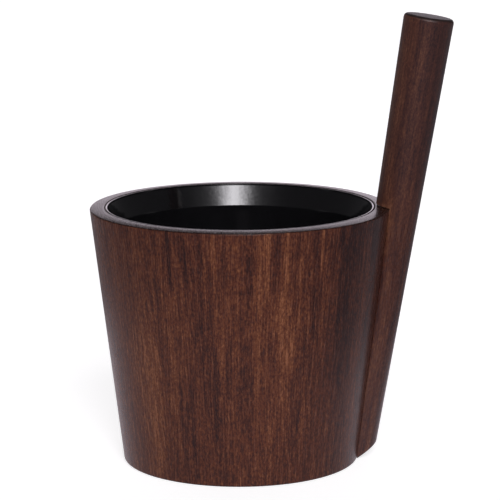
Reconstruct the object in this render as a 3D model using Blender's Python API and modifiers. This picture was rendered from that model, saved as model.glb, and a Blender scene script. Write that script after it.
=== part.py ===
"""Sauna bucket: a tapered pail of glued staves, with a leaning rod handle and a loose black insert.

Metres, +Z up, standing on z = 0, with the handle towards +X. The origin is the middle of the whole
object's footprint, and every piece hangs from an empty on the pail's own upright axis.
"""

import math

import bmesh
import bpy
from mathutils import Vector

# Gap that is left between two pieces that touch
SEAT_GAP = 0.0003

# Pail: staves glued edge to edge, turned to a cone and cut off square to the wall at the rim
RIM_RADIUS = 0.1200  # of the rim's outer edge
BASE_RADIUS = 0.0946
PAIL_HEIGHT = 0.2049  # of the rim's outer edge, which lies lower than the inner one
WALL_THICKNESS = 0.0118  # measured level
STAVE_COUNT = 16
RIM_OUTER_ROUND = 0.0014
RIM_INNER_ROUND = 0.0008
FOOT_OUTER_ROUND = 0.0018
FOOT_INNER_ROUND = 0.0015

# Bottom: boards with a thinned edge, held in a groove round the inside of the staves
BOTTOM_UNDERSIDE = 0.0090
BOTTOM_THICKNESS = 0.0100
BOTTOM_EDGE_THICKNESS = 0.0060
GROOVE_DEPTH = 0.0045
MIDDLE_BOARD_SHARE = 0.35  # of the bottom's diameter

# Insert: a thin plastic cup with a flared collar, which stands on the bottom boards
INSERT_CLEARANCE = 0.0009  # level gap to the staves at its lip and at its foot
INSERT_WALL = 0.0015  # measured level
INSERT_FLOOR = 0.0022
INSERT_BELOW_RIM = 0.0002  # from the rim's inner edge to its lip
INSERT_LIP_HEIGHT = 0.0014  # of the upright band at its lip
INSERT_LIP_ROUND = 0.0006
INSERT_COLLAR_DEPTH = 0.0173  # from its lip to the neck below the collar
INSERT_COLLAR_SLOPE = math.radians(22)  # from upright
INSERT_COLLAR_ROUND = 0.0030
INSERT_CORNER_ROUND = 0.0090

# Handle: a tapered rod, notched over the rim and cut hollow to lie against the wall
HANDLE_RADIUS_AT_RIM = 0.0175
HANDLE_TAPER = 0.0172  # growth of its radius along its length
HANDLE_SHOULDER_DEPTH = 0.0112  # how far the rod reaches in over the rim
HANDLE_SINK_AT_FOOT = 0.0004  # how far its axis lies inside the wall's surface at floor level
HANDLE_RISE = 0.1526  # height of its end's centre above the rim
HANDLE_END_ROUND = 0.0030
HANDLE_FOOT_SLOPE = math.radians(33.2)
HANDLE_FOOT_LIFT = 0.0004  # height of the slanted foot above the floor, at the wall
HANDLE_FOOT_ROUND = 0.0015

# Screws from inside the pail into the handle, at these shares of the pail's height
SCREW_PLACES = {"lower": 0.34, "upper": 0.76}
SCREW_LENGTH = 0.0250
SCREW_SHANK_RADIUS = 0.0022
SCREW_HEAD_RADIUS = 0.0044
SCREW_HEAD_EDGE = 0.0005
SCREW_TIP_LENGTH = 0.0040
SCREW_SINK = 0.0008  # depth of the head below the wall's inner face
SCREW_DRIVE_RADIUS = 0.0021
SCREW_DRIVE_DEPTH = 0.0016

# Fineness of the round shapes
FACETS_PER_STAVE = 6
HANDLE_STEPS = 48
SCREW_STEPS = 24
DRIVE_STEPS = 6
ROUND_STEPS = 4
FOOT_ROUND_SEGMENTS = 3
MERGE_DISTANCE = 0.00001
SHARP_ANGLE = math.radians(40)

# How far a cutter runs past what it cuts
CUTTER_MARGIN = 0.0200

# Colour (linear), roughness and metallic value of each material
STAVE_WOOD = ("stave_wood", (0.084, 0.032, 0.021), 0.38, 0.0)
HANDLE_WOOD = ("handle_wood", (0.062, 0.025, 0.018), 0.40, 0.0)
BOTTOM_WOOD = ("bottom_wood", (0.105, 0.042, 0.026), 0.55, 0.0)
INSERT_PLASTIC = ("insert_plastic", (0.006, 0.006, 0.007), 0.16, 0.0)
SCREW_STEEL = ("screw_steel", (0.56, 0.56, 0.55), 0.30, 1.0)

# Sizes that follow from those above
TURN_STEPS = STAVE_COUNT * FACETS_PER_STAVE
STAVE_ANGLE = 2 * math.pi / STAVE_COUNT
GLUE_ANGLE = SEAT_GAP / RIM_RADIUS
WALL_SLOPE = (RIM_RADIUS - BASE_RADIUS) / PAIL_HEIGHT
WALL_ANGLE = math.atan(WALL_SLOPE)
RIM_INNER_HEIGHT = PAIL_HEIGHT + WALL_THICKNESS * math.cos(WALL_ANGLE) * math.sin(WALL_ANGLE)
BOTTOM_TOP = BOTTOM_UNDERSIDE + BOTTOM_THICKNESS
BOTTOM_EDGE_UNDERSIDE = BOTTOM_TOP - BOTTOM_EDGE_THICKNESS
INSERT_SEAT = BOTTOM_TOP + SEAT_GAP
HANDLE_AXIS_AT_FLOOR = BASE_RADIUS - HANDLE_SINK_AT_FOOT
HANDLE_AXIS_AT_RIM = RIM_RADIUS - HANDLE_SHOULDER_DEPTH + HANDLE_RADIUS_AT_RIM
HANDLE_LEAN = math.atan((HANDLE_AXIS_AT_RIM - HANDLE_AXIS_AT_FLOOR) / PAIL_HEIGHT)
HANDLE_TO_RIM = PAIL_HEIGHT / math.cos(HANDLE_LEAN)
HANDLE_LENGTH = (PAIL_HEIGHT + HANDLE_RISE) / math.cos(HANDLE_LEAN)
SCREW_HEAD_DEPTH = SCREW_HEAD_RADIUS - SCREW_SHANK_RADIUS


def outer_radius(z):
    """Radius of the wall's outer face at a height."""
    return BASE_RADIUS + WALL_SLOPE * z


def inner_radius(z):
    """Radius of the wall's inner face at a height."""
    return outer_radius(z) - WALL_THICKNESS


def handle_radius(along):
    """Radius of the rod at a distance along its axis from floor level."""
    return HANDLE_RADIUS_AT_RIM + HANDLE_TAPER * (along - HANDLE_TO_RIM)


GROOVE_TOP = BOTTOM_TOP + SEAT_GAP
GROOVE_BOTTOM = BOTTOM_EDGE_UNDERSIDE - SEAT_GAP
GROOVE_RADIUS = inner_radius(GROOVE_TOP) + GROOVE_DEPTH


def axis_place():
    """X of the pail's axis that puts the origin midway between the rim's far side and the handle's end."""
    rim_reach = RIM_RADIUS - RIM_OUTER_ROUND * (math.cos(WALL_ANGLE) + math.sin(WALL_ANGLE) - 1)
    round_along = HANDLE_LENGTH - HANDLE_END_ROUND
    end_reach = HANDLE_AXIS_AT_FLOOR + round_along * math.sin(HANDLE_LEAN) + HANDLE_END_ROUND
    end_reach += (handle_radius(round_along) - HANDLE_END_ROUND) * math.cos(HANDLE_LEAN)
    return (rim_reach - end_reach) / 2


def rounded(corners):
    """The outline through corners (x, z, radius), with an arc of its radius in place of each corner."""
    points = []
    for index, (x, z, radius) in enumerate(corners):
        corner = Vector((x, z))
        if radius == 0:
            points.append(corner)
            continue
        before = (Vector(corners[index - 1][:2]) - corner).normalized()
        after = (Vector(corners[(index + 1) % len(corners)][:2]) - corner).normalized()
        half_angle = before.angle(after) / 2
        centre = corner + (before + after).normalized() * (radius / math.sin(half_angle))
        reach = radius / math.tan(half_angle)
        first = (corner + before * reach - centre).normalized()
        last = (corner + after * reach - centre).normalized()
        for step in range(ROUND_STEPS + 1):
            points.append(centre + first.slerp(last, step / ROUND_STEPS) * radius)
    return points


def new_object(name, mesh, material, collection, parent):
    obj = bpy.data.objects.new(name, mesh)
    collection.objects.link(obj)
    obj.parent = parent
    if material is not None and not mesh.materials:
        mesh.materials.append(material)
    return obj


def turned(name, outline, steps, material, collection, parent, smooth=True):
    """An object whose outline of (radius, height) is turned about its own Z by a Screw modifier."""
    mesh = bpy.data.meshes.new(name)
    points = [(radius, 0, height) for radius, height in outline]
    mesh.from_pydata(points, [(i, i + 1) for i in range(len(points) - 1)], [])
    obj = new_object(name, mesh, material, collection, parent)
    turn = obj.modifiers.new("turn", "SCREW")
    turn.axis = "Z"
    turn.steps = steps
    turn.render_steps = steps
    turn.use_merge_vertices = True
    turn.merge_threshold = MERGE_DISTANCE
    turn.use_smooth_shade = smooth
    return obj


def box(name, low, high, collection, parent):
    """A cutter with these corners."""
    form = bmesh.new()
    bmesh.ops.create_cube(form, size=1)
    for vertex in form.verts:
        for axis in range(3):
            vertex.co[axis] = low[axis] if vertex.co[axis] < 0 else high[axis]
    mesh = bpy.data.meshes.new(name)
    form.to_mesh(mesh)
    form.free()
    return new_object(name, mesh, None, collection, parent)


def boolean(obj, operation, other):
    change = obj.modifiers.new(other.name, "BOOLEAN")
    change.operation = operation
    change.solver = "EXACT"
    change.object = other


def stave_mesh(name):
    """One stave, centred on +X: its section, spun about the pail's axis through its share of a turn."""
    section = rounded(
        [
            (outer_radius(0), 0, FOOT_OUTER_ROUND),
            (outer_radius(PAIL_HEIGHT), PAIL_HEIGHT, RIM_OUTER_ROUND),
            (inner_radius(RIM_INNER_HEIGHT), RIM_INNER_HEIGHT, RIM_INNER_ROUND),
            (inner_radius(GROOVE_TOP), GROOVE_TOP, 0),
            (GROOVE_RADIUS, GROOVE_TOP, 0),
            (GROOVE_RADIUS, GROOVE_BOTTOM, 0),
            (inner_radius(GROOVE_BOTTOM), GROOVE_BOTTOM, 0),
            (inner_radius(0), 0, FOOT_INNER_ROUND),
        ]
    )
    span = STAVE_ANGLE - GLUE_ANGLE
    across = Vector((math.cos(span / 2), -math.sin(span / 2), 0))
    form = bmesh.new()
    corners = [form.verts.new(across * radius + Vector((0, 0, height))) for radius, height in section]
    form.faces.new(corners)
    bmesh.ops.spin(
        form,
        geom=form.verts[:] + form.edges[:] + form.faces[:],
        cent=(0, 0, 0),
        axis=(0, 0, 1),
        angle=span,
        steps=FACETS_PER_STAVE,
    )
    bmesh.ops.recalc_face_normals(form, faces=form.faces[:])
    mesh = bpy.data.meshes.new(name)
    form.to_mesh(mesh)
    form.free()
    mesh.shade_smooth()
    mesh.set_sharp_from_angle(angle=SHARP_ANGLE)
    return mesh


def add_staves(wood, parts, pail):
    """The staves round the pail. The first carries the handle, so it has its own mesh to be drilled."""
    shared = stave_mesh("stave")
    staves = []
    for index in range(STAVE_COUNT):
        mesh = stave_mesh("handle_stave") if index == 0 else shared
        stave = new_object(f"stave_{index + 1:02d}", mesh, wood, parts, pail)
        stave.rotation_euler.z = index * STAVE_ANGLE
        staves.append(stave)
    return staves


def add_bottom(wood, parts, cutters, pail):
    """A disc with a thinned edge, sawn into three boards."""
    edge = GROOVE_RADIUS - SEAT_GAP
    shoulder = inner_radius(GROOVE_BOTTOM) - SEAT_GAP
    bevel = BOTTOM_THICKNESS - BOTTOM_EDGE_THICKNESS
    outline = [
        (0, BOTTOM_TOP),
        (edge, BOTTOM_TOP),
        (edge, BOTTOM_EDGE_UNDERSIDE),
        (shoulder, BOTTOM_EDGE_UNDERSIDE),
        (shoulder - bevel, BOTTOM_UNDERSIDE),
        (0, BOTTOM_UNDERSIDE),
    ]
    saw_cut = edge * MIDDLE_BOARD_SHARE
    middle_side = saw_cut - SEAT_GAP / 2
    outer_side = saw_cut + SEAT_GAP / 2
    side = edge + CUTTER_MARGIN
    spans = [(-side, -outer_side), (-middle_side, middle_side), (outer_side, side)]
    for index, (low, high) in enumerate(spans, start=1):
        board = turned(f"bottom_board_{index}", outline, TURN_STEPS, wood, parts, pail, smooth=False)
        width = box(
            f"board_width_{index}",
            (-side, low, BOTTOM_UNDERSIDE - CUTTER_MARGIN),
            (side, high, BOTTOM_TOP + CUTTER_MARGIN),
            cutters,
            pail,
        )
        boolean(board, "INTERSECT", width)


def add_insert(plastic, parts, pail):
    """A thin cup whose wall flares to a collar at the top, on an empty at the height where it stands."""
    lift = bpy.data.objects.new("insert_lift", None)
    parts.objects.link(lift)
    lift.parent = pail
    lift.location.z = INSERT_SEAT
    top = RIM_INNER_HEIGHT - INSERT_BELOW_RIM
    band = top - INSERT_LIP_HEIGHT
    floor = INSERT_SEAT + INSERT_FLOOR
    neck_height = top - INSERT_COLLAR_DEPTH
    lip = inner_radius(top) - INSERT_CLEARANCE
    neck = lip - (band - neck_height) * math.tan(INSERT_COLLAR_SLOPE)
    foot = inner_radius(INSERT_SEAT) - INSERT_CLEARANCE
    outside_floor = foot + (neck - foot) * INSERT_FLOOR / (neck_height - INSERT_SEAT)
    outline = rounded(
        [
            (0, floor, 0),
            (outside_floor - INSERT_WALL, floor, INSERT_CORNER_ROUND - INSERT_WALL),
            (neck - INSERT_WALL, neck_height, INSERT_COLLAR_ROUND),
            (lip - INSERT_WALL, band, 0),
            (lip - INSERT_WALL, top, INSERT_LIP_ROUND),
            (lip, top, INSERT_LIP_ROUND),
            (lip, band, 0),
            (neck, neck_height, INSERT_COLLAR_ROUND),
            (foot, INSERT_SEAT, INSERT_CORNER_ROUND),
            (0, INSERT_SEAT, 0),
        ]
    )
    turned("insert", [(radius, z - INSERT_SEAT) for radius, z in outline], TURN_STEPS, plastic, parts, lift)


def add_handle(wood, parts, cutters, pail):
    """The turned rod, cut at a slant at its foot, with that edge rounded, then cut by the pail's outside."""
    below = -CUTTER_MARGIN
    outline = rounded(
        [
            (0, HANDLE_LENGTH, 0),
            (handle_radius(HANDLE_LENGTH), HANDLE_LENGTH, HANDLE_END_ROUND),
            (handle_radius(below), below, 0),
            (0, below, 0),
        ]
    )
    handle = turned("handle", outline, HANDLE_STEPS, wood, parts, pail)
    handle.location.x = HANDLE_AXIS_AT_FLOOR
    handle.rotation_euler.y = HANDLE_LEAN

    reach = HANDLE_RADIUS_AT_RIM + CUTTER_MARGIN
    foot = box("foot_slant", (-reach, -reach, -2 * reach), (reach, reach, 0), cutters, pail)
    foot.location = (BASE_RADIUS, 0, HANDLE_FOOT_LIFT)
    foot.rotation_euler.y = -HANDLE_FOOT_SLOPE
    boolean(handle, "DIFFERENCE", foot)

    edge = handle.modifiers.new("foot_round", "BEVEL")
    edge.limit_method = "ANGLE"
    edge.angle_limit = SHARP_ANGLE
    edge.width = HANDLE_FOOT_ROUND
    edge.segments = FOOT_ROUND_SEGMENTS

    gap = SEAT_GAP / math.cos(WALL_ANGLE)
    rest = PAIL_HEIGHT + SEAT_GAP * (math.cos(WALL_ANGLE) - math.sin(WALL_ANGLE))
    rest_radius = outer_radius(rest) + gap
    peak = rest + rest_radius * WALL_SLOPE
    outside = [(0, peak), (rest_radius, rest), (outer_radius(below) + gap, below), (0, below)]
    pail_outside = turned("pail_outside", outside, TURN_STEPS, None, cutters, pail, smooth=False)
    boolean(handle, "DIFFERENCE", pail_outside)
    return handle


def screw_outline(gap, above):
    """A countersunk screw's outline, tip down from height 0, grown by a gap and run up above its head."""
    shank = SCREW_SHANK_RADIUS + gap
    head = SCREW_HEAD_RADIUS + gap
    under_edge = -SCREW_HEAD_EDGE - gap
    return [
        (0, above),
        (head, above),
        (head, under_edge),
        (shank, under_edge - SCREW_HEAD_DEPTH),
        (shank, SCREW_TIP_LENGTH - SCREW_LENGTH),
        (0, -SCREW_LENGTH - gap),
    ]


def add_screws(steel, parts, cutters, pail, stave, handle):
    """Screws square to the wall, in holes through the handle's stave and into the handle."""
    for place, share in SCREW_PLACES.items():
        height = PAIL_HEIGHT * share
        head_x = inner_radius(height) + SCREW_SINK * math.cos(WALL_ANGLE)
        head_z = height - SCREW_SINK * math.sin(WALL_ANGLE)
        screw = turned(f"handle_screw_{place}", screw_outline(0, 0), SCREW_STEPS, steel, parts, pail)
        room = screw_outline(SEAT_GAP, CUTTER_MARGIN)
        hole = turned(f"screw_hole_{place}", room, SCREW_STEPS, None, cutters, pail, smooth=False)
        recess = [
            (0, CUTTER_MARGIN),
            (SCREW_DRIVE_RADIUS, CUTTER_MARGIN),
            (SCREW_DRIVE_RADIUS, -SCREW_DRIVE_DEPTH),
            (0, -SCREW_DRIVE_DEPTH),
        ]
        drive = turned(f"screw_drive_{place}", recess, DRIVE_STEPS, None, cutters, pail, smooth=False)
        for obj in (screw, hole, drive):
            obj.location = (head_x, 0, head_z)
            obj.rotation_euler.y = WALL_ANGLE - math.pi / 2
        boolean(screw, "DIFFERENCE", drive)
        boolean(stave, "DIFFERENCE", hole)
        boolean(handle, "DIFFERENCE", hole)


def new_material(name, colour, roughness, metallic):
    material = bpy.data.materials.new(name)
    material.use_nodes = True
    shader = material.node_tree.nodes["Principled BSDF"]
    shader.inputs["Base Color"].default_value = (*colour, 1)
    shader.inputs["Roughness"].default_value = roughness
    shader.inputs["Metallic"].default_value = metallic
    return material


def new_collection(name):
    collection = bpy.data.collections.new(name)
    bpy.context.scene.collection.children.link(collection)
    return collection


def main():
    for obj in list(bpy.data.objects):
        bpy.data.objects.remove(obj, do_unlink=True)
    parts = new_collection("sauna_bucket")
    cutters = new_collection("cutters")
    pail = bpy.data.objects.new("pail_axis", None)
    parts.objects.link(pail)
    pail.location.x = axis_place()

    staves = add_staves(new_material(*STAVE_WOOD), parts, pail)
    add_bottom(new_material(*BOTTOM_WOOD), parts, cutters, pail)
    add_insert(new_material(*INSERT_PLASTIC), parts, pail)
    handle = add_handle(new_material(*HANDLE_WOOD), parts, cutters, pail)
    add_screws(new_material(*SCREW_STEEL), parts, cutters, pail, staves[0], handle)

    for cutter in cutters.objects:
        cutter.hide_render = True
        cutter.display_type = "WIRE"


main()
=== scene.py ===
"""Looks of the sauna bucket: fine staves, handle and insert over the frame, finishes and studio."""

import math

import bmesh
import bpy
import numpy as np
from mathutils import Matrix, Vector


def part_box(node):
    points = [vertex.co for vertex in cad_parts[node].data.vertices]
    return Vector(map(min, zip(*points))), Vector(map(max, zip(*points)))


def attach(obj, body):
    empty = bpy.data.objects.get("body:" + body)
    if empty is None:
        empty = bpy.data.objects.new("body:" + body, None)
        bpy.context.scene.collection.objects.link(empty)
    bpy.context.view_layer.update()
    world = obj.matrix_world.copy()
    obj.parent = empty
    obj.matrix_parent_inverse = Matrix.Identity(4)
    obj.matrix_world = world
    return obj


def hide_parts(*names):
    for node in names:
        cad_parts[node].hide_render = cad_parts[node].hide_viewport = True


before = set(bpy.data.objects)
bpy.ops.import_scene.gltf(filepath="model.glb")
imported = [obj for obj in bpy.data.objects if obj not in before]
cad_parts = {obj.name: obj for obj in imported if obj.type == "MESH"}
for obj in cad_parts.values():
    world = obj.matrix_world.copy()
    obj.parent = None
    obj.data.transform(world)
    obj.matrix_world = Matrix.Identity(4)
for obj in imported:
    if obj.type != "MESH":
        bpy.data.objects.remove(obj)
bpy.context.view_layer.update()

# Sizes of the pail in metres, as in the part's source, but with a rim that is 0.1 mm smaller in radius
RIM_RADIUS = 0.11990
BASE_RADIUS = 0.0946
PAIL_HEIGHT = 0.2049
WALL_THICKNESS = 0.0118
WALL_SLOPE = (RIM_RADIUS - BASE_RADIUS) / PAIL_HEIGHT
WALL_ANGLE = math.atan(WALL_SLOPE)
RIM_INNER_HEIGHT = PAIL_HEIGHT + WALL_THICKNESS * math.cos(WALL_ANGLE) * math.sin(WALL_ANGLE)
STAVE_COUNT = 16
STAVE_TURN = 2 * np.pi / STAVE_COUNT
FOOT_OUTER_ROUND = 0.0018
FOOT_INNER_ROUND = 0.0015
GROOVE_TOP = 0.0193
GROOVE_BOTTOM = 0.0127
GROOVE_DEPTH = 0.0045

# Finish of the rim: rounded edges, a lifted outer edge, and a wide crown half way across
RIM_OUTER_ROUND = 0.0012
RIM_INNER_ROUND = 0.0009
RIM_EDGE_LIFT = 0.0005
RIM_CROWN = 0.0006
RIM_CROWN_ROUND = 0.0600

# Sizes of the insert, as in the part's source
INSERT_CLEARANCE = 0.0009
INSERT_WALL = 0.0015
INSERT_FLOOR = 0.0022
INSERT_SEAT = 0.0193
INSERT_BELOW_RIM = 0.0002
INSERT_LIP_HEIGHT = 0.0014
INSERT_LIP_ROUND = 0.0006
INSERT_CORNER_ROUND = 0.0090
INSERT_COLLAR_DEPTH = 0.0173
INSERT_COLLAR_SLOPE = math.radians(22)
INSERT_COLLAR_ROUND = 0.0030

# Sizes of the handle, within 0.1 mm of the part's source, but with a rounder and crowned end
HANDLE_AXIS_AT_FLOOR = 0.0942
HANDLE_AXIS_AT_RIM = 0.1263
HANDLE_RADIUS_AT_RIM = 0.01744
HANDLE_TAPER = 0.0172
HANDLE_RISE = 0.15254
HANDLE_END_ROUND = 0.0033
HANDLE_END_CROWN = 0.0003
HANDLE_FOOT_SLOPE = math.radians(33.2)
HANDLE_FOOT_LIFT = 0.0005
HANDLE_FOOT_ROUND = 0.0015
HANDLE_SHOULDER_ROUND = 0.0006
HANDLE_LEAN = math.atan((HANDLE_AXIS_AT_RIM - HANDLE_AXIS_AT_FLOOR) / PAIL_HEIGHT)

# Holes for the screws that hold the handle from inside
SCREW_SHARES = (0.34, 0.76)
SCREW_SINK = 0.0008
SCREW_SHANK_RADIUS = 0.0025
SCREW_HEAD_RADIUS = 0.0047
SCREW_HEAD_EDGE = 0.0008
SCREW_HOLE_DEPTH = 0.0160
SCREW_HOLE_ABOVE = 0.0100

# Gaps between the fine pieces: tight glue lines, and the handle scribed close to the wall
GLUE_GAP = 0.00002
SCRIBE_GAP = 0.00015
SHOULDER_GAP = 0.0008

# Fineness of the meshes: steps round a shape, rings along it, and the longest straight step in metres
STAVE_STEPS = 32
WALL_SPACING = 0.0045
ARC_STEPS = 8
INSERT_STEPS = 256
SCREW_HOLE_STEPS = 48
HANDLE_OUTSIDE_STEPS = 97
HANDLE_INSIDE_STEPS = 31
HANDLE_FOOT_RINGS = 5
HANDLE_LOWER_RINGS = 64
HANDLE_UPPER_RINGS = 50
HANDLE_END_RINGS = 9
EDGE_HALVINGS = 48
MERGE_DISTANCE = 1e-6
SHARP_ANGLE = math.radians(32)

# Shares of the handle's lower and upper part in which its rings turn to the rim's slant, and then square
FOOT_TURN_SHARE = 0.6
END_TURN_SHARE = 0.7

# Steps in which the round of the handle's shoulder fades out towards its corners
SHOULDER_FADE_STEPS = 4

AXIS_X = (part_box("insert")[0].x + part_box("insert")[1].x) / 2


# Shapes of the fine pieces


def wall_radius(z):
    """Radius of the wall's outer face: it grows evenly with height."""
    return BASE_RADIUS + WALL_SLOPE * z


def outline(corners, spacing, closed):
    """Points (radius, height) of a section: each corner (radius, height, round) becomes an arc that touches
    both of its sides, and the straight run from one arc to the next is divided evenly."""
    place = np.array([c[:2] for c in corners])
    rounds = np.array([c[2] for c in corners])
    before = np.roll(place, 1, 0) - place
    after = np.roll(place, -1, 0) - place
    before /= np.linalg.norm(before, axis=1, keepdims=True)
    after /= np.linalg.norm(after, axis=1, keepdims=True)
    half = np.arccos(np.clip((before * after).sum(1), -1, 1)) / 2
    side = before + after
    side /= np.linalg.norm(side, axis=1, keepdims=True)
    centre = place + side * (rounds / np.sin(half))[:, None]
    reach = (rounds / np.tan(half))[:, None]
    first = place + before * reach - centre
    last = place + after * reach - centre
    turn = np.arctan2(first[:, 0] * last[:, 1] - first[:, 1] * last[:, 0], (first * last).sum(1))
    runs = []
    count = len(corners)
    for i in range(count):
        angle = turn[i] * np.linspace(0, 1, ARC_STEPS + 1 if rounds[i] else 1)
        arc_x = centre[i, 0] + first[i, 0] * np.cos(angle) - first[i, 1] * np.sin(angle)
        arc_z = centre[i, 1] + first[i, 0] * np.sin(angle) + first[i, 1] * np.cos(angle)
        runs.append(np.stack([arc_x, arc_z], 1))
        if i + 1 < count or closed:
            following = (i + 1) % count
            end = centre[following] + first[following]
            start = runs[-1][-1]
            steps = max(1, int(np.ceil(np.linalg.norm(end - start) / spacing)))
            runs.append(start + (end - start) * (np.arange(1, steps) / steps)[:, None])
    return np.concatenate(runs)


def ring_faces(rings, count):
    """Corner numbers of the quads between neighbouring rings of points, each of which is closed on
    itself."""
    ring, place = np.meshgrid(np.arange(rings - 1), np.arange(count), indexing="ij")
    following = (place + 1) % count
    here, beyond = ring * count, (ring + 1) * count
    corners = np.stack([here + place, here + following, beyond + following, beyond + place], -1)
    return corners.reshape(-1, 4).tolist()


def solid(name, points, faces):
    """A closed mesh about the pail's axis: doubles are merged, so that poles and seams close, and faces
    turn outwards."""
    mesh = bpy.data.meshes.new(name)
    mesh.from_pydata((points.reshape(-1, 3) + (AXIS_X, 0, 0)).tolist(), [], faces)
    form = bmesh.new()
    form.from_mesh(mesh)
    bmesh.ops.remove_doubles(form, verts=form.verts[:], dist=MERGE_DISTANCE)
    bmesh.ops.recalc_face_normals(form, faces=form.faces[:])
    form.to_mesh(mesh)
    form.free()
    mesh.shade_smooth()
    mesh.set_sharp_from_angle(angle=SHARP_ANGLE)
    obj = bpy.data.objects.new(name, mesh)
    bpy.context.scene.collection.objects.link(obj)
    return obj


def turned(name, section):
    """A section of (radius, height) carried once round the pail's axis."""
    angle = np.linspace(0, 2 * np.pi, INSERT_STEPS, endpoint=False)
    radius, height = section[:, :1], section[:, 1:]
    points = np.stack([radius * np.cos(angle), radius * np.sin(angle), height + 0 * angle], -1)
    return solid(name, points, ring_faces(len(section), INSERT_STEPS))


def stave(number):
    """One stave: its section, with the crowned rim and the groove for the bottom, carried through a
    sixteenth of a turn, less half a glue line on each side, and closed by the section itself at both
    ends."""
    rim_inside = wall_radius(RIM_INNER_HEIGHT) - WALL_THICKNESS
    middle = (RIM_RADIUS + rim_inside) / 2
    crown = (PAIL_HEIGHT + RIM_INNER_HEIGHT) / 2 + RIM_CROWN
    above_groove = wall_radius(GROOVE_TOP) - WALL_THICKNESS
    section = outline(
        [
            (BASE_RADIUS, 0, FOOT_OUTER_ROUND),
            (RIM_RADIUS, PAIL_HEIGHT + RIM_EDGE_LIFT, RIM_OUTER_ROUND),
            (middle, crown, RIM_CROWN_ROUND),
            (rim_inside, RIM_INNER_HEIGHT, RIM_INNER_ROUND),
            (above_groove, GROOVE_TOP, 0),
            (above_groove + GROOVE_DEPTH, GROOVE_TOP, 0),
            (above_groove + GROOVE_DEPTH, GROOVE_BOTTOM, 0),
            (wall_radius(GROOVE_BOTTOM) - WALL_THICKNESS, GROOVE_BOTTOM, 0),
            (BASE_RADIUS - WALL_THICKNESS, 0, FOOT_INNER_ROUND),
        ],
        WALL_SPACING,
        closed=True,
    )
    half = STAVE_TURN / 2 - GLUE_GAP / 2 / RIM_RADIUS
    angle = (STAVE_TURN * (number - 1) + np.linspace(-half, half, STAVE_STEPS + 1))[:, None]
    radius, height = section[None, :, 0], section[None, :, 1]
    points = np.stack([radius * np.cos(angle), radius * np.sin(angle), height + 0 * angle], -1)
    count = len(section)
    faces = ring_faces(STAVE_STEPS + 1, count)
    faces += [list(range(count)), list(range(STAVE_STEPS * count, (STAVE_STEPS + 1) * count))]
    return solid(f"stave_{number:02d}_turned", points, faces)


def drill(obj):
    """Countersunk screw holes: the screw's section, a little larger, turned about a line square to the
    wall's inner face and taken away from the stave."""
    section = np.array(
        [
            (0, SCREW_HOLE_ABOVE),
            (SCREW_HEAD_RADIUS, SCREW_HOLE_ABOVE),
            (SCREW_HEAD_RADIUS, -SCREW_HEAD_EDGE),
            (SCREW_SHANK_RADIUS, -SCREW_HEAD_EDGE - (SCREW_HEAD_RADIUS - SCREW_SHANK_RADIUS)),
            (SCREW_SHANK_RADIUS, -SCREW_HOLE_DEPTH),
            (0, -SCREW_HOLE_DEPTH),
        ]
    )
    angle = np.linspace(0, 2 * np.pi, SCREW_HOLE_STEPS, endpoint=False)
    for share in SCREW_SHARES:
        height = PAIL_HEIGHT * share
        across = np.stack([section[:, :1] * np.cos(angle), section[:, :1] * np.sin(angle)], -1)
        along = section[:, 1:] + 0 * angle
        turn = WALL_ANGLE - math.pi / 2
        x = across[..., 0] * math.cos(turn) + along * math.sin(turn)
        z = -across[..., 0] * math.sin(turn) + along * math.cos(turn)
        head_x = wall_radius(height) - WALL_THICKNESS + SCREW_SINK * math.cos(WALL_ANGLE)
        head_z = height - SCREW_SINK * math.sin(WALL_ANGLE)
        points = np.stack([x + head_x, across[..., 1], z + head_z], -1)
        cutter = solid("screw_hole", points, ring_faces(len(section), SCREW_HOLE_STEPS))
        cut = obj.modifiers.new("hole", "BOOLEAN")
        cut.operation = "DIFFERENCE"
        cut.solver = "EXACT"
        cut.object = cutter
        bpy.context.view_layer.update()
        graph = bpy.context.evaluated_depsgraph_get()
        mesh = bpy.data.meshes.new_from_object(obj.evaluated_get(graph))
        obj.modifiers.clear()
        obj.data = mesh
        bpy.data.objects.remove(cutter)
    obj.data.name = obj.name


def eased(share):
    """A share, held between 0 and 1, that starts and ends softly: its square times 3 less twice itself."""
    share = np.clip(share, 0, 1)
    return share * share * (3 - 2 * share)


def rod(level, slope, inset, turn):
    """Points of the tapered rod, less an inset from its radius, on the planes z = level + slope * x, at
    angles round its leaning axis. The radius is linear along the axis, so one division gives the distance
    along it."""
    sine, cosine = math.sin(HANDLE_LEAN), math.cos(HANDLE_LEAN)
    start = HANDLE_RADIUS_AT_RIM - HANDLE_TAPER * PAIL_HEIGHT / cosine - inset
    out = np.cos(turn)
    along = level + slope * (HANDLE_AXIS_AT_FLOOR + start * out * cosine) + start * out * sine
    along = along / (cosine - HANDLE_TAPER * out * sine - slope * (sine + HANDLE_TAPER * out * cosine))
    radius = start + HANDLE_TAPER * along
    x = HANDLE_AXIS_AT_FLOOR + along * sine + radius * out * cosine
    z = along * cosine - radius * out * sine
    return np.stack([x, radius * np.sin(turn), z], -1)


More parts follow.
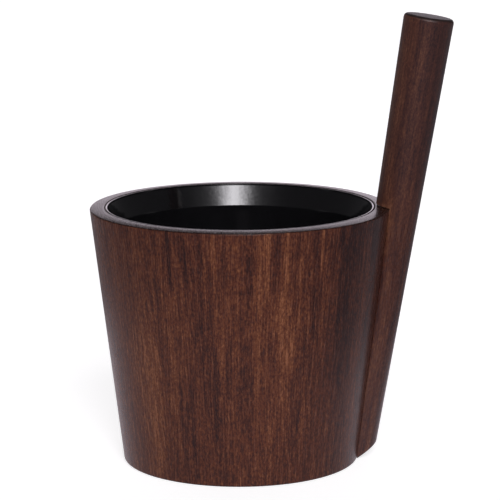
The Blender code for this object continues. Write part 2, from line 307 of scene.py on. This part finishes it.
def handle():
    """The handle as one grid of rings, foot to end. Below the rim, a ring is the rod's outside plus an arc
    of the wall's cone, on planes that turn from the foot's slant to the rim's. At the shoulder it steps in,
    along the rim, to the whole rod, and the last rings round over to the end. The edge between the outside
    and the arc is found by halving."""
    # Planes of the lower rings: over the rounded foot, then up to the rim
    base = BASE_RADIUS + SCRIBE_GAP
    rest = PAIL_HEIGHT + SHOULDER_GAP
    foot_slope = math.tan(HANDLE_FOOT_SLOPE)
    turn = np.linspace(np.pi / 2, 0, ARC_STEPS + 1)
    foot_level = HANDLE_FOOT_LIFT - foot_slope * BASE_RADIUS
    foot_level = foot_level + HANDLE_FOOT_ROUND * (1 - np.sin(turn)) / math.cos(HANDLE_FOOT_SLOPE)
    low = (foot_level[-1] + foot_slope * base) / (1 - foot_slope * WALL_SLOPE)
    share = np.linspace(0, 1, HANDLE_LOWER_RINGS)[1:]
    height = low + (rest - low) * share
    slope = (foot_slope + WALL_SLOPE) * eased(1 - share / FOOT_TURN_SHARE) - WALL_SLOPE
    level = np.concatenate([foot_level, height - slope * (base + WALL_SLOPE * height)])[:, None]
    slope = np.concatenate([foot_slope + 0 * foot_level, slope])[:, None]
    inset = np.concatenate([HANDLE_FOOT_ROUND * (1 - np.cos(turn)), 0 * share])[:, None]

    # Lower rings: the outside as far as the wall, and the hollow along it
    inner, outer = np.full_like(level, np.pi), np.zeros_like(level)
    for _ in range(EDGE_HALVINGS):
        middle = (inner + outer) / 2
        edge = rod(level, slope, inset, middle)
        clear = np.hypot(edge[..., 0], edge[..., 1]) > base + WALL_SLOPE * edge[..., 2]
        inner, outer = np.where(clear, inner, middle), np.where(clear, middle, outer)
    outside = rod(level, slope, inset, outer * np.linspace(-1, 1, HANDLE_OUTSIDE_STEPS))
    corner = rod(level, slope, inset, outer)
    reach = np.arctan2(corner[..., 1], corner[..., 0])
    arc = reach * np.linspace(1, -1, HANDLE_INSIDE_STEPS + 2)[1:-1]
    arc_z = (level + slope * base * np.cos(arc)) / (1 - slope * WALL_SLOPE * np.cos(arc))
    arc_r = base + WALL_SLOPE * arc_z
    hollow = np.stack([arc_r * np.cos(arc), arc_r * np.sin(arc), arc_z], -1)
    lower = np.concatenate([outside, hollow], 1)

    # Shoulder: the whole rod at the rim, with a rounded edge where it reaches in
    split = outer[-1, 0]
    around = np.concatenate(
        [
            split * np.linspace(-1, 1, HANDLE_OUTSIDE_STEPS),
            np.linspace(split, 2 * np.pi - split, HANDLE_INSIDE_STEPS + 2)[1:-1],
        ]
    )[None, :]
    inside = np.arange(HANDLE_INSIDE_STEPS)
    weight = np.clip(np.minimum(inside + 1, HANDLE_INSIDE_STEPS - inside) / SHOULDER_FADE_STEPS, 0, 1)
    weight = np.concatenate([np.zeros(HANDLE_OUTSIDE_STEPS), weight])[None, :]
    turn = np.linspace(0, np.pi / 2, ARC_STEPS + 1)[:, None]
    edge_level = level[-1] + HANDLE_SHOULDER_ROUND * (1 - np.cos(turn))
    shoulder = rod(edge_level, -WALL_SLOPE, HANDLE_SHOULDER_ROUND * (1 - np.sin(turn)) * weight, around)

    # Upper rings, up to the round of the end
    sine, cosine = math.sin(HANDLE_LEAN), math.cos(HANDLE_LEAN)
    length = (PAIL_HEIGHT + HANDLE_RISE) / cosine
    share = np.linspace(0, 1, HANDLE_UPPER_RINGS)[1:, None]
    slant = (WALL_SLOPE - math.tan(HANDLE_LEAN)) * eased(share / END_TURN_SHARE) - WALL_SLOPE
    start = (edge_level[-1] - WALL_SLOPE * HANDLE_AXIS_AT_FLOOR) / (cosine + WALL_SLOPE * sine)
    along = start + (length - HANDLE_END_ROUND - start) * share
    upper = rod(along * cosine - slant * (HANDLE_AXIS_AT_FLOOR + along * sine), slant, 0, around)

    # End: the round, then the crowned face in to its middle
    turn = np.linspace(0, np.pi / 2, ARC_STEPS + 1)[1:, None]
    flat = HANDLE_RADIUS_AT_RIM + HANDLE_TAPER * (length - PAIL_HEIGHT / cosine) - HANDLE_END_ROUND
    part = np.linspace(1, 0, HANDLE_END_RINGS)[1:, None]
    along = np.concatenate(
        [length - HANDLE_END_ROUND * (1 - np.sin(turn)), length + HANDLE_END_CROWN * (1 - part * part)]
    )
    inset = np.concatenate([HANDLE_END_ROUND * (1 - np.cos(turn)), HANDLE_END_ROUND + flat * (1 - part)])
    slant = -math.tan(HANDLE_LEAN)
    end = rod(along * cosine - slant * (HANDLE_AXIS_AT_FLOOR + along * sine), slant, inset, around)

    # Foot: its slanted face, out from its middle
    foot = lower[0].mean(0)
    foot = foot + (lower[0] - foot) * np.linspace(0, 1, HANDLE_FOOT_RINGS)[:-1, None, None]
    rings = np.concatenate([foot, lower, shoulder, upper, end])
    return solid("handle_rod", rings, ring_faces(*rings.shape[:2]))


def insert():
    """The insert: a thin cup's section, with an upright rounded lip, a flared collar and a wide curve at
    its foot, turned once round."""
    floor = INSERT_SEAT + INSERT_FLOOR
    top = RIM_INNER_HEIGHT - INSERT_BELOW_RIM
    band = top - INSERT_LIP_HEIGHT
    crease = top - INSERT_COLLAR_DEPTH
    lip = wall_radius(top) - WALL_THICKNESS - INSERT_CLEARANCE
    neck = lip - (band - crease) * math.tan(INSERT_COLLAR_SLOPE)
    foot = wall_radius(INSERT_SEAT) - WALL_THICKNESS - INSERT_CLEARANCE
    outside_floor = foot + (neck - foot) * INSERT_FLOOR / (crease - INSERT_SEAT)
    section = outline(
        [
            (0, floor, 0),
            (outside_floor - INSERT_WALL, floor, INSERT_CORNER_ROUND - INSERT_WALL),
            (neck - INSERT_WALL, crease, INSERT_COLLAR_ROUND),
            (lip - INSERT_WALL, band, INSERT_LIP_ROUND),
            (lip - INSERT_WALL, top, INSERT_LIP_ROUND),
            (lip, top, INSERT_LIP_ROUND),
            (lip, band, INSERT_LIP_ROUND),
            (neck, crease, INSERT_COLLAR_ROUND),
            (foot, INSERT_SEAT, INSERT_CORNER_ROUND),
            (0, INSERT_SEAT, 0),
        ],
        WALL_SPACING,
        closed=False,
    )
    return turned("insert_cup", section)


# Grain: where a point lies in the board that its piece was cut from, and the board's own figure, with
# painted light and shade added to it

# Front streaks of the grain, and wide patches of painted light and shade: azimuth and half width in
# degrees, tone, height and half height in metres
FRONT_STREAKS_AND_PAINTED_LIGHT = np.array(
    [
        (-117.8, 0.9, -1.10, 0.185, 0.030),
        (-116.6, 0.8, -0.45, 0.100, 0.050),
        (-111.2, 0.9, -0.35, 0.195, 0.045),
        (-111.6, 1.0, -0.50, 0.060, 0.050),
        (-103.4, 0.7, 0.60, 0.180, 0.040),
        (-100.8, 1.1, 0.55, 0.195, 0.020),
        (-101.2, 1.2, -0.65, 0.075, 0.050),
        (-95.6, 0.7, -0.50, 0.115, 0.045),
        (-86.6, 1.6, -0.60, 0.190, 0.035),
        (-82.6, 1.4, 0.30, 0.110, 0.100),
        (-79.6, 1.2, 0.75, 0.185, 0.035),
        (-76.0, 3.2, 0.40, 0.140, 0.016),
        (-69.0, 2.2, 0.45, 0.110, 0.020),
        (-67.4, 0.7, -0.40, 0.180, 0.040),
        (-57.6, 0.8, 0.85, 0.192, 0.022),
        (-44.6, 1.0, -0.45, 0.150, 0.020),
        (-61.5, 0.8, 0.40, 0.055, 0.035),
        (-97.5, 2.0, 0.35, 0.120, 0.040),
        (-72.0, 2.2, 0.30, 0.140, 0.100),
        # Wide patches of painted light and shade: lighter low on the front left, where fill light from the
        # floor falls, darker low in front, and darker on the right towards the handle, in its shade
        (-136.0, 10.0, 0.45, 0.050, 0.075),
        (-140.0, 12.0, 0.22, 0.100, 0.090),
        (-118.0, 7.0, 0.20, 0.120, 0.050),
        (-88.0, 13.0, -0.20, 0.045, 0.050),
        (-66.0, 12.0, -0.20, 0.050, 0.060),
        (-42.0, 12.0, -0.40, 0.155, 0.090),
        (-22.0, 10.0, -0.40, 0.155, 0.090),
        (-38.0, 8.0, -0.35, 0.200, 0.032),
        (-26.0, 9.0, -0.35, 0.200, 0.032),
    ]
)

# Share of its half height in which each streak and each patch of painted light and shade has its full tone
STREAK_CORE = 0.5

# Tone of each stave, and how much of it shows
STAVE_TONES = (-0.2, 0.5, -0.3, 0.2, -0.6, 0.4, 0.1, -0.4, 0.6, 1.2, 0.2, -0.2, 0.5, 0.1, -0.1, -0.4)
STAVE_TONE_SHARE = 0.25

# Shift of the grain in metres from one stave to the next, and that of the handle
STAVE_SHIFT = np.array([0.371, 0.153, 0.777])
HANDLE_SHIFT = (0.23, 0.41, 3.1)

# How far below the rim's outer edge, and below the handle's end, the dark end of the grain begins to show;
# on the rim it also paints shade over the outer round
RIM_END_GRAIN_AND_PAINTED_SHADE = 0.0006
HANDLE_END_GRAIN = 0.0022

# Tones of the handle: its left side and its lower part, and painted highlights on the flank at the seam
# with the wall and on the shoulder's edge
LEFT_TONE = 0.35
LOW_TONE = 0.18
LOW_TOP = 0.235
LOW_FADE = 0.060
SEAM_PAINTED_HIGHLIGHT = 0.9
SEAM_WIDTH = 0.0028
SEAM_HEIGHT = 0.195
SEAM_HALF_HEIGHT = 0.030
SHOULDER_PAINTED_HIGHLIGHT = 1.3
SHOULDER_HEIGHT = 0.2062
SHOULDER_HALF_HEIGHT = 0.0012

# How much rougher the handle's end is, and how much smoother its lower part
END_DULLING = 0.11
LOW_POLISH = 0.13


def keep(mesh, name, kind, values):
    """Stores one value for each point of a mesh."""
    layer = mesh.attributes.new(name, kind, "POINT")
    field = "vector" if kind == "FLOAT_VECTOR" else "value"
    layer.data.foreach_set(field, values.astype(np.float32).ravel())


def points_of(mesh):
    """A mesh's points about the pail's axis."""
    points = np.empty(len(mesh.vertices) * 3, np.float32)
    mesh.vertices.foreach_get("co", points)
    return points.reshape(-1, 3).astype(float) - (AXIS_X, 0, 0)


def stave_grain(obj, number):
    """Three values for each point of a stave: its place across, through and along the board, shifted by the
    stave's number so that no two are alike; a tone, the board's own plus a bell curve for each streak and
    patch of painted light and shade; and its height past the start of the rim's dark end grain and painted
    shade."""
    x, y, z = points_of(obj.data).T
    centre = STAVE_TURN * (number - 1)
    across = -x * np.sin(centre) + y * np.cos(centre)
    depth = x * np.cos(centre) + y * np.sin(centre) - wall_radius(z)
    keep(obj.data, "grain", "FLOAT_VECTOR", np.stack([across, depth, z], 1) + number * STAVE_SHIFT)
    azimuth, width, tone, height, half_height = FRONT_STREAKS_AND_PAINTED_LIGHT.T
    aside = (np.degrees(np.arctan2(y, x))[:, None] - azimuth) / width
    above = np.clip(np.abs(z[:, None] - height) / half_height - STREAK_CORE, 0, 1) / STREAK_CORE
    mine = np.round(np.radians(azimuth) / STAVE_TURN) % STAVE_COUNT == number - 1
    spot = tone * mine * np.exp(-aside * aside) * np.exp(-above * above)
    keep(obj.data, "figure", "FLOAT", STAVE_TONE_SHARE * STAVE_TONES[number - 1] + spot.sum(1))
    keep(obj.data, "past_edge", "FLOAT", z - (PAIL_HEIGHT - RIM_END_GRAIN_AND_PAINTED_SHADE))


def handle_grain(obj):
    """Four values for each point of the handle: its place across, through and along the leaning rod; a tone
    that grows to the left, in the lower part, and as bell curves of painted highlight at the seam with the
    wall and at the shoulder; its distance past the start of the end grain; and its dryness, more at the end
    and less in the lower part."""
    points = points_of(obj.data)
    sine, cosine = math.sin(HANDLE_LEAN), math.cos(HANDLE_LEAN)
    axes = np.array([(cosine, 0, -sine), (0, 1, 0), (sine, 0, cosine)])
    along = (points - (HANDLE_AXIS_AT_FLOOR, 0, 0)) @ axes.T
    keep(obj.data, "grain", "FLOAT_VECTOR", along + HANDLE_SHIFT)
    x, y, z = points.T
    left = -along[:, 0] / HANDLE_RADIUS_AT_RIM
    low = np.clip((LOW_TOP - z) / LOW_FADE, 0, 1)
    from_wall = (np.hypot(x, y) - wall_radius(np.minimum(z, PAIL_HEIGHT))) / SEAM_WIDTH
    # Painted highlights: a lit strip on the flank beside the wall below the rim, and a lit edge under the
    # shoulder
    top = np.exp(-((z - SEAM_HEIGHT) / SEAM_HALF_HEIGHT) ** 2)
    seam = SEAM_PAINTED_HIGHLIGHT * top * np.exp(-from_wall * from_wall)
    shoulder = np.exp(-((z - SHOULDER_HEIGHT) / SHOULDER_HALF_HEIGHT) ** 2)
    shoulder = SHOULDER_PAINTED_HIGHLIGHT * shoulder * (from_wall < 0)
    keep(obj.data, "figure", "FLOAT", left * LEFT_TONE + low * LOW_TONE + np.maximum(seam, shoulder))
    length = (PAIL_HEIGHT + HANDLE_RISE) / cosine
    past_edge = along[:, 2] - (length - HANDLE_END_GRAIN)
    keep(obj.data, "past_edge", "FLOAT", past_edge)
    keep(obj.data, "dry", "FLOAT", END_DULLING * (past_edge > 0) - LOW_POLISH * low)


# Finishes

# Middle level of a noise, which is taken off so that the noise lies about 0
NOISE_MIDDLE = 0.5


class Level:
    """A socket of a finish's node tree. Arithmetic on it adds Math nodes."""

    def __init__(self, finish, socket):
        self.finish = finish
        self.socket = socket

    def math(self, operation, first, second):
        """A Math node of any operation."""
        return self.finish.node("ShaderNodeMath", {"operation": operation}, {0: first, 1: second})

    def __add__(self, other):
        return self.math("ADD", self, other)

    __radd__ = __add__

    def __mul__(self, other):
        return self.math("MULTIPLY", self, other)

    __rmul__ = __mul__

    def __sub__(self, other):
        return self.math("SUBTRACT", self, other)

    def __rsub__(self, other):
        return self.math("SUBTRACT", other, self)


class Finish:
    """A node tree that is filled by calls. The method node adds any node, sets it up, and then links or
    sets its sockets. The other methods are for what is used often."""

    def __init__(self, owner):
        owner.use_nodes = True
        self.owner = owner
        self.tree = owner.node_tree
        self.tree.nodes.clear()

    def node(self, kind, settings=None, sockets=None, give=0):
        """One node of a kind. It gives the named or numbered output, or the node itself if it has none."""
        made = self.tree.nodes.new(kind)
        for name, value in (settings or {}).items():
            if name == "stops":
                stops = made.color_ramp.elements
                while len(stops) < len(value):
                    stops.new(1)
                for stop, (place, colour) in zip(stops, value):
                    stop.position = place
                    stop.color = (*colour, 1)
            else:
                setattr(made, name, value)
        for name, value in (sockets or {}).items():
            if isinstance(value, Level):
                self.tree.links.new(value.socket, made.inputs[name])
            else:
                made.inputs[name].default_value = value
        return Level(self, made.outputs[give]) if len(made.outputs) else made

    def noise(self, place, scale, detail=2, rough=0.5):
        """Noise about 0, half a unit up and down, at a place that is stretched by a scale for each axis."""
        scaled = self.node("ShaderNodeVectorMath", {"operation": "MULTIPLY"}, {0: place, 1: scale})
        sockets = {"Vector": scaled, "Scale": 1, "Detail": detail, "Roughness": rough}
        return self.node("ShaderNodeTexNoise", None, sockets) - NOISE_MIDDLE

    def limit(self, value, low, high):
        """0 below low and 1 above high, or 1 and 0 where low is the larger, with a smooth change
        between."""
        sockets = {"Value": value, "From Min": low, "From Max": high}
        return self.node("ShaderNodeMapRange", {"interpolation_type": "SMOOTHSTEP"}, sockets)

    def blend(self, share, first, second, way="MIX"):
        """Two colours mixed by a share, or, if the way is ADD, that share of the second added to the
        first."""
        settings = {"data_type": "RGBA", "blend_type": way}
        return self.node("ShaderNodeMix", settings, {"Factor": share, "A": first, "B": second}, "Result")

    def attribute(self, name, give):
        """A value that is stored for each point of the mesh."""
        return self.node("ShaderNodeAttribute", {"attribute_name": name}, None, give)

    def axes(self, place):
        """The three numbers of a place."""
        outputs = self.node("ShaderNodeSeparateXYZ", None, {"Vector": place}).socket.node.outputs
        return [Level(self, outputs[axis]) for axis in "XYZ"]

    def shader(self, fixed, colour, rough, bump, strength, distance):
        """The Principled shader, with its fixed sockets set and the bump of a height behind its normal."""
        sockets = {"Strength": strength, "Distance": distance, "Height": bump}
        normal = self.node("ShaderNodeBump", None, sockets)
        principled = {**fixed, "Base Color": colour, "Roughness": rough, "Normal": normal}
        made = self.node("ShaderNodeBsdfPrincipled", None, principled)
        self.node("ShaderNodeOutputMaterial", None, {"Surface": made})
        return self.owner


# Wood: scales of its noises across, through and along the board, in waves for each metre
SWAY_SCALE = (9, 9, 4)
BROAD_SCALE = (60, 60, 3)
BAND_SCALE = (260, 260, 8)
FIBRE_SCALE = (900, 900, 50)
FLECK_SCALE = (850, 850, 380)
PORE_SCALE = (2600, 2600, 130)

# Wood: levels of noise at which a pore starts and is full, and the sway of the grain in metres
PORE_EDGE = (0.08, 0.20)
SWAY_REACH = 0.008

# Wood: shares of the noises in its tone, roughness and dents, and the strength and depth of the dents
MIDDLE_TONE = 0.455
BROAD_TONE = 0.6
BAND_TONE = 0.65
FIBRE_TONE = 1.0
FLECK_TONE = 1.5
PORE_TONE = 0.14
FIGURE_AND_PAINTED_LIGHT_TONE = 0.45
FIBRE_ROUGHNESS = 0.12
PORE_ROUGHNESS = 0.12
FIBRE_DENT = 0.5
FLECK_DENT = 0.3
WOOD_DENTS = (0.20, 0.0002)

# Wood: colour of the end of the grain, which on the rim's rounded edges and under the handle's shoulder is
# also painted shade, how much of it shows and how soon, and colours from dark to pale
END_GRAIN_AND_PAINTED_SHADE_COLOUR = (0.015, 0.007, 0.006, 1)
END_GRAIN_AND_PAINTED_SHADE_SHARE = 0.95
END_GRAIN_AND_PAINTED_SHADE_FADE = 0.0013
WALL_STOPS = [
    (0.00, (0.026, 0.012, 0.012)),
    (0.25, (0.056, 0.021, 0.016)),
    (0.50, (0.112, 0.036, 0.022)),
    (0.75, (0.187, 0.066, 0.032)),
    (1.00, (0.320, 0.127, 0.060)),
]
HANDLE_TINT = (0.665, 0.715, 0.85)
BOTTOM_TINT = (1.25, 1.30, 1.30)

# Plastic: noises in waves for each metre along X, Y and Z, and their shares as for the wood
DRAW_SCALE = (450, 450, 60)
SCUFF_SCALE = (60, 60, 25)
DUST_SCALE = (1500, 1500, 1500)
WAVE_SCALE = (75, 75, 190)
WAVE_FADE = 0.003
PLASTIC_DARK = (0.0035, 0.0035, 0.0040, 1)
PLASTIC_PALE = (0.0075, 0.0075, 0.0082, 1)
PLASTIC_ROUGHNESS = 0.07
SCUFF_ROUGHNESS = 0.03
DUST_ROUGHNESS = 0.02
DUST_DENT = 0.15
WAVE_DENT = 6.0
PLASTIC_DENTS = (0.10, 0.0003)
PLASTIC_IOR = 1.5

# Steel: the same for its turning lines and dull patches
LINE_SCALE = (900, 5200, 5200)
DULL_SCALE = (260, 260, 260)
STEEL_DARK = (0.42, 0.42, 0.41, 1)
STEEL_PALE = (0.64, 0.64, 0.62, 1)
STEEL_ROUGHNESS = 0.28
DULL_ROUGHNESS = 0.25
LINE_ROUGHNESS = 0.10
STEEL_DENTS = (0.15, 0.0001)


def tinted(tint):
    """The wall's colours, each part of a colour times the same part of a tint."""
    return [(place, np.multiply(colour, tint).tolist()) for place, colour in WALL_STOPS]


def dark_wood(name, place, figure, stops, mottle, fine, shine, gloss):
    """Heat-treated wood under satin lacquer: broad tones, bands, fibres, flecks and pores, each a noise
    that is drawn out along the grain. Their sum picks the colour, fibres and pores also roughen it, and
    fibres, flecks and pores dent it. Where the piece has a figure with painted light, its tone is added,
    the end of the grain turns dark and paints shade on the rim's rounded edges, and its dryness roughens
    it."""
    f = Finish(bpy.data.materials.new(name))
    coordinates = place(f)
    sway = f.noise(coordinates, SWAY_SCALE) * SWAY_REACH
    shift = f.node("ShaderNodeCombineXYZ", None, {"X": sway})
    grain = f.node("ShaderNodeVectorMath", {"operation": "ADD"}, {0: coordinates, 1: shift})
    broad = f.noise(grain, BROAD_SCALE)
    bands = f.noise(grain, BAND_SCALE, rough=0.6)
    fibres = f.noise(grain, FIBRE_SCALE)
    flecks = f.noise(grain, FLECK_SCALE, rough=0.7)
    pores = f.limit(f.noise(grain, PORE_SCALE, detail=1), *PORE_EDGE)
    tone = MIDDLE_TONE + (broad * BROAD_TONE + bands * BAND_TONE) * mottle
    tone = tone + (fibres * FIBRE_TONE + flecks * FLECK_TONE) * fine - pores * PORE_TONE
    if figure:
        # The stored tone is the grain's figure plus painted light and shade
        tone = tone + f.attribute("figure", "Fac") * FIGURE_AND_PAINTED_LIGHT_TONE
    colour = f.node("ShaderNodeValToRGB", {"stops": stops}, {"Fac": tone}, "Color")
    rough = gloss + fibres * FIBRE_ROUGHNESS + pores * PORE_ROUGHNESS
    if figure:
        # Dark end grain, which on the rim's rounded edges and under the handle's shoulder is painted shade
        end = f.limit(f.attribute("past_edge", "Fac"), 0, END_GRAIN_AND_PAINTED_SHADE_FADE)
        colour = f.blend(end * END_GRAIN_AND_PAINTED_SHADE_SHARE, colour, END_GRAIN_AND_PAINTED_SHADE_COLOUR)
        rough = rough + f.attribute("dry", "Fac")
    dents = fibres * FIBRE_DENT + flecks * FLECK_DENT - pores
    return f.shader({"Specular IOR Level": shine}, colour, rough, dents, *WOOD_DENTS)


def grain_attribute(finish):
    """The place in its board that is stored for each point of a stave or of the handle."""
    return finish.attribute("grain", "Vector")


def board_place(finish):
    """Object coordinates turned so that the boards' length, along X, is the grain's last axis."""
    x, y, z = finish.axes(finish.node("ShaderNodeTexCoord", None, None, "Object"))
    return finish.node("ShaderNodeCombineXYZ", None, {"X": y, "Y": z, "Z": x})


def black_plastic():
    """Moulded gloss black: faint draw lines up the wall, a little dust, scuffs that dull it, and shallow
    waves in the collar alone."""
    f = Finish(bpy.data.materials.new("moulded_black"))
    place = f.node("ShaderNodeTexCoord", None, None, "Object")
    draw_lines = f.noise(place, DRAW_SCALE)
    scuffs = f.noise(place, SCUFF_SCALE, detail=4, rough=0.65)
    dust = f.noise(place, DUST_SCALE, detail=1)
    colour = f.blend(scuffs + NOISE_MIDDLE, PLASTIC_DARK, PLASTIC_PALE)
    height = f.axes(place)[2]
    crease = RIM_INNER_HEIGHT - INSERT_BELOW_RIM - INSERT_COLLAR_DEPTH
    collar = f.limit(height, crease - WAVE_FADE, crease + WAVE_FADE)
    waves = f.noise(place, WAVE_SCALE, detail=3, rough=0.6) * collar
    rough = PLASTIC_ROUGHNESS + scuffs * SCUFF_ROUGHNESS + dust * DUST_ROUGHNESS
    dents = draw_lines + dust * DUST_DENT + waves * WAVE_DENT
    return f.shader({"IOR": PLASTIC_IOR}, colour, rough, dents, *PLASTIC_DENTS)


def bright_steel():
    """Stainless steel with fine turning lines and slight dulling."""
    f = Finish(bpy.data.materials.new("stainless_screw"))
    place = f.node("ShaderNodeTexCoord", None, None, "Object")
    lines = f.noise(place, LINE_SCALE)
    dull = f.noise(place, DULL_SCALE, detail=3)
    colour = f.blend(dull + NOISE_MIDDLE, STEEL_DARK, STEEL_PALE)
    rough = STEEL_ROUGHNESS + dull * DULL_ROUGHNESS + lines * LINE_ROUGHNESS
    return f.shader({"Metallic": 1.0}, colour, rough, lines, *STEEL_DENTS)


wall_wood = dark_wood(
    "lacquered_wall_wood",
    grain_attribute,
    figure=True,
    stops=WALL_STOPS,
    mottle=0.85,
    fine=1.0,
    shine=0.20,
    gloss=0.26,
)
handle_wood = dark_wood(
    "lacquered_handle_wood",
    grain_attribute,
    figure=True,
    stops=tinted(HANDLE_TINT),
    mottle=1.15,
    fine=0.75,
    shine=0.43,
    gloss=0.38,
)
bottom_wood = dark_wood(
    "planed_bottom_wood",
    board_place,
    figure=False,
    stops=tinted(BOTTOM_TINT),
    mottle=1.0,
    fine=0.9,
    shine=0.20,
    gloss=0.55,
)
plastic = black_plastic()
steel = bright_steel()


# Pieces, each on its body and in the place of its solid


def place_piece(obj, material, body, node):
    """Gives a piece its material, and puts it on a body in the place of a solid."""
    obj.data.materials.clear()
    obj.data.materials.append(material)
    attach(obj, body)
    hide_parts(node)


for number in range(1, STAVE_COUNT + 1):
    piece = stave(number)
    if number == 1:
        drill(piece)
    stave_grain(piece, number)
    place_piece(piece, wall_wood, "bucket", f"stave_{number:02d}")
piece = handle()
handle_grain(piece)
place_piece(piece, handle_wood, "bucket", "handle")
place_piece(insert(), plastic, "insert", "insert")
for name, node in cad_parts.items():
    if name.startswith("bottom_board"):
        node.material_slots[0].material = bottom_wood
    if name.startswith("handle_screw"):
        node.material_slots[0].material = steel


# Studio

# Camera: place in metres, turns in radians, and lens and sensor in millimetres
CAMERA_PLACE = (AXIS_X, -2.05288, 0.57032)
CAMERA_YAW = -0.003936
CAMERA_PITCH = 0.192617
CAMERA_ROLL = -0.003726
CAMERA_LENS = 187.737
CAMERA_SENSOR = 36

# Studio light as surfaces see it, and its place in degrees: a pair is its start and where it is full
ROOM_LIGHT = (0.075, 0.073, 0.078, 1)
BACKDROP_LIGHT = (1.46, 1.30, 1.45, 1)
BACKDROP_TOP = (21, 13)
BACKDROP_SIDE = (26, 9)
BACKDROP_SLANT = 0.8
BACKDROP_SLANT_REACH = 12
LAMP_LIGHT = (14.6, 14.3, 14.9, 1)
LAMP_TURN = 5.8
LAMP_WIDTH = 12.0
LAMP_LOW = (20, 26)
LAMP_HIGH = (50, 44)
HALO_LIGHT = (1.0, 0.98, 1.02, 1)
HALO_WIDTH = 28.0
FILL_LIGHT = (0.90, 0.86, 0.90, 1)
FILL_TOP = (60, 40)
FILL_SIDE = (75, 40)
WHITE = (1, 1, 1, 1)
BLACK = (0, 0, 0, 1)

# Floor: colour and glow for the camera, colour for other rays and a glow painted on it that only
# reflections see, and that glow's reach in metres
FLOOR_PALE = (0.60, 0.60, 0.60, 1)
FLOOR_GLOW = (0.70, 0.70, 0.70, 1)
FLOOR_DIM = (0.40, 0.37, 0.39, 1)
FLOOR_REFLECTED_GLOW = (0.45, 0.40, 0.44, 1)
FLOOR_REACH = (0.58, 0.25)
FLOOR_MIDDLE = (AXIS_X - 0.07, 0, 0)
FLOOR_HALF_SIDE = 30.0
FLOOR_SINK = 0.0001


def studio():
    """White for the camera. Light and reflections see a dark room, a pale backdrop low behind the object
    that stands a little higher on the right, and a soft lamp in front. The lamp's light falls off to its
    sides as a bell curve, with a wider and dimmer halo. Diffuse light alone sees a wide fill behind the
    object."""
    world = bpy.data.worlds.new("studio")
    bpy.context.scene.world = world
    f = Finish(world)
    x, y, z = f.axes(f.node("ShaderNodeTexCoord", None, None, "Generated"))
    height = z.math("ARCSINE", z, 0) * math.degrees(1)
    from_front = x.math("ARCTAN2", x, 0 - y) * math.degrees(1)
    from_back = x.math("ARCTAN2", 0 - x, y) * math.degrees(1)
    off_back = x.math("ABSOLUTE", from_back, 0)
    aside = x.math("MAXIMUM", x.math("MINIMUM", from_back, BACKDROP_SLANT_REACH), -BACKDROP_SLANT_REACH)
    backdrop = f.limit(height + aside * BACKDROP_SLANT, *BACKDROP_TOP) * f.limit(off_back, *BACKDROP_SIDE)
    lit = f.limit(height, *LAMP_LOW) * f.limit(height, *LAMP_HIGH)
    off_core = (from_front - LAMP_TURN) * (1 / LAMP_WIDTH)
    off_halo = (from_front - LAMP_TURN) * (1 / HALO_WIDTH)
    core = lit * x.math("EXPONENT", 0 - off_core * off_core, 0)
    halo = lit * x.math("EXPONENT", 0 - off_halo * off_halo, 0)
    shiny = f.node("ShaderNodeLightPath", None, None, "Is Glossy Ray")
    fill = f.limit(height, *FILL_TOP) * f.limit(off_back, *FILL_SIDE) * (1 - shiny)
    light = f.blend(backdrop, ROOM_LIGHT, BACKDROP_LIGHT)
    light = f.blend(fill, light, FILL_LIGHT, "ADD")
    light = f.blend(core, light, LAMP_LIGHT, "ADD")
    light = f.blend(halo, light, HALO_LIGHT, "ADD")
    light = f.blend(f.node("ShaderNodeLightPath", None, None, "Is Camera Ray"), light, WHITE)
    background = f.node("ShaderNodeBackground", None, {"Color": light})
    f.node("ShaderNodeOutputWorld", None, {"Surface": background})


def floor():
    """A wide pale square, just under the pail, that glows a little for the camera and keeps the shadow.
    Reflections see a glow painted on it that fades with the distance from the pail."""
    mesh = bpy.data.meshes.new("floor")
    side = np.array([(-1, -1), (1, -1), (1, 1), (-1, 1)]) * FLOOR_HALF_SIDE
    mesh.from_pydata(np.column_stack([side, np.full(4, -FLOOR_SINK)]).tolist(), [], [(0, 1, 2, 3)])
    obj = bpy.data.objects.new("floor", mesh)
    bpy.context.scene.collection.objects.link(obj)
    f = Finish(bpy.data.materials.new("pale_floor"))
    place = f.node("ShaderNodeTexCoord", None, None, "Object")
    away = f.node("ShaderNodeVectorMath", {"operation": "DISTANCE"}, {0: place, 1: FLOOR_MIDDLE}, "Value")
    seen = f.node("ShaderNodeLightPath", None, None, "Is Camera Ray")
    shiny = f.node("ShaderNodeLightPath", None, None, "Is Glossy Ray") * f.limit(away, *FLOOR_REACH)
    reflected_glow = f.blend(shiny, BLACK, FLOOR_REFLECTED_GLOW)
    sockets = {
        "Base Color": f.blend(seen, FLOOR_DIM, FLOOR_PALE),
        "Emission Color": f.blend(seen, reflected_glow, FLOOR_GLOW),
        "Emission Strength": 1,
        "Roughness": 1,
        "Specular IOR Level": 0,
    }
    made = f.node("ShaderNodeBsdfPrincipled", None, sockets)
    f.node("ShaderNodeOutputMaterial", None, {"Surface": made})
    mesh.materials.append(f.owner)


def camera():
    """The photograph's camera: moved to its place, then turned, pitched down and rolled."""
    data = bpy.data.cameras.new("photo_camera")
    data.sensor_width = CAMERA_SENSOR
    data.lens = CAMERA_LENS
    obj = bpy.data.objects.new("photo_camera", data)
    bpy.context.scene.collection.objects.link(obj)
    obj.matrix_world = (
        Matrix.Translation(CAMERA_PLACE)
        @ Matrix.Rotation(CAMERA_YAW, 4, "Z")
        @ Matrix.Rotation(math.pi / 2 - CAMERA_PITCH, 4, "X")
        @ Matrix.Rotation(CAMERA_ROLL, 4, "Z")
    )
    bpy.context.scene.camera = obj


studio()
floor()
camera()
bpy.context.scene.view_settings.view_transform = "Standard"
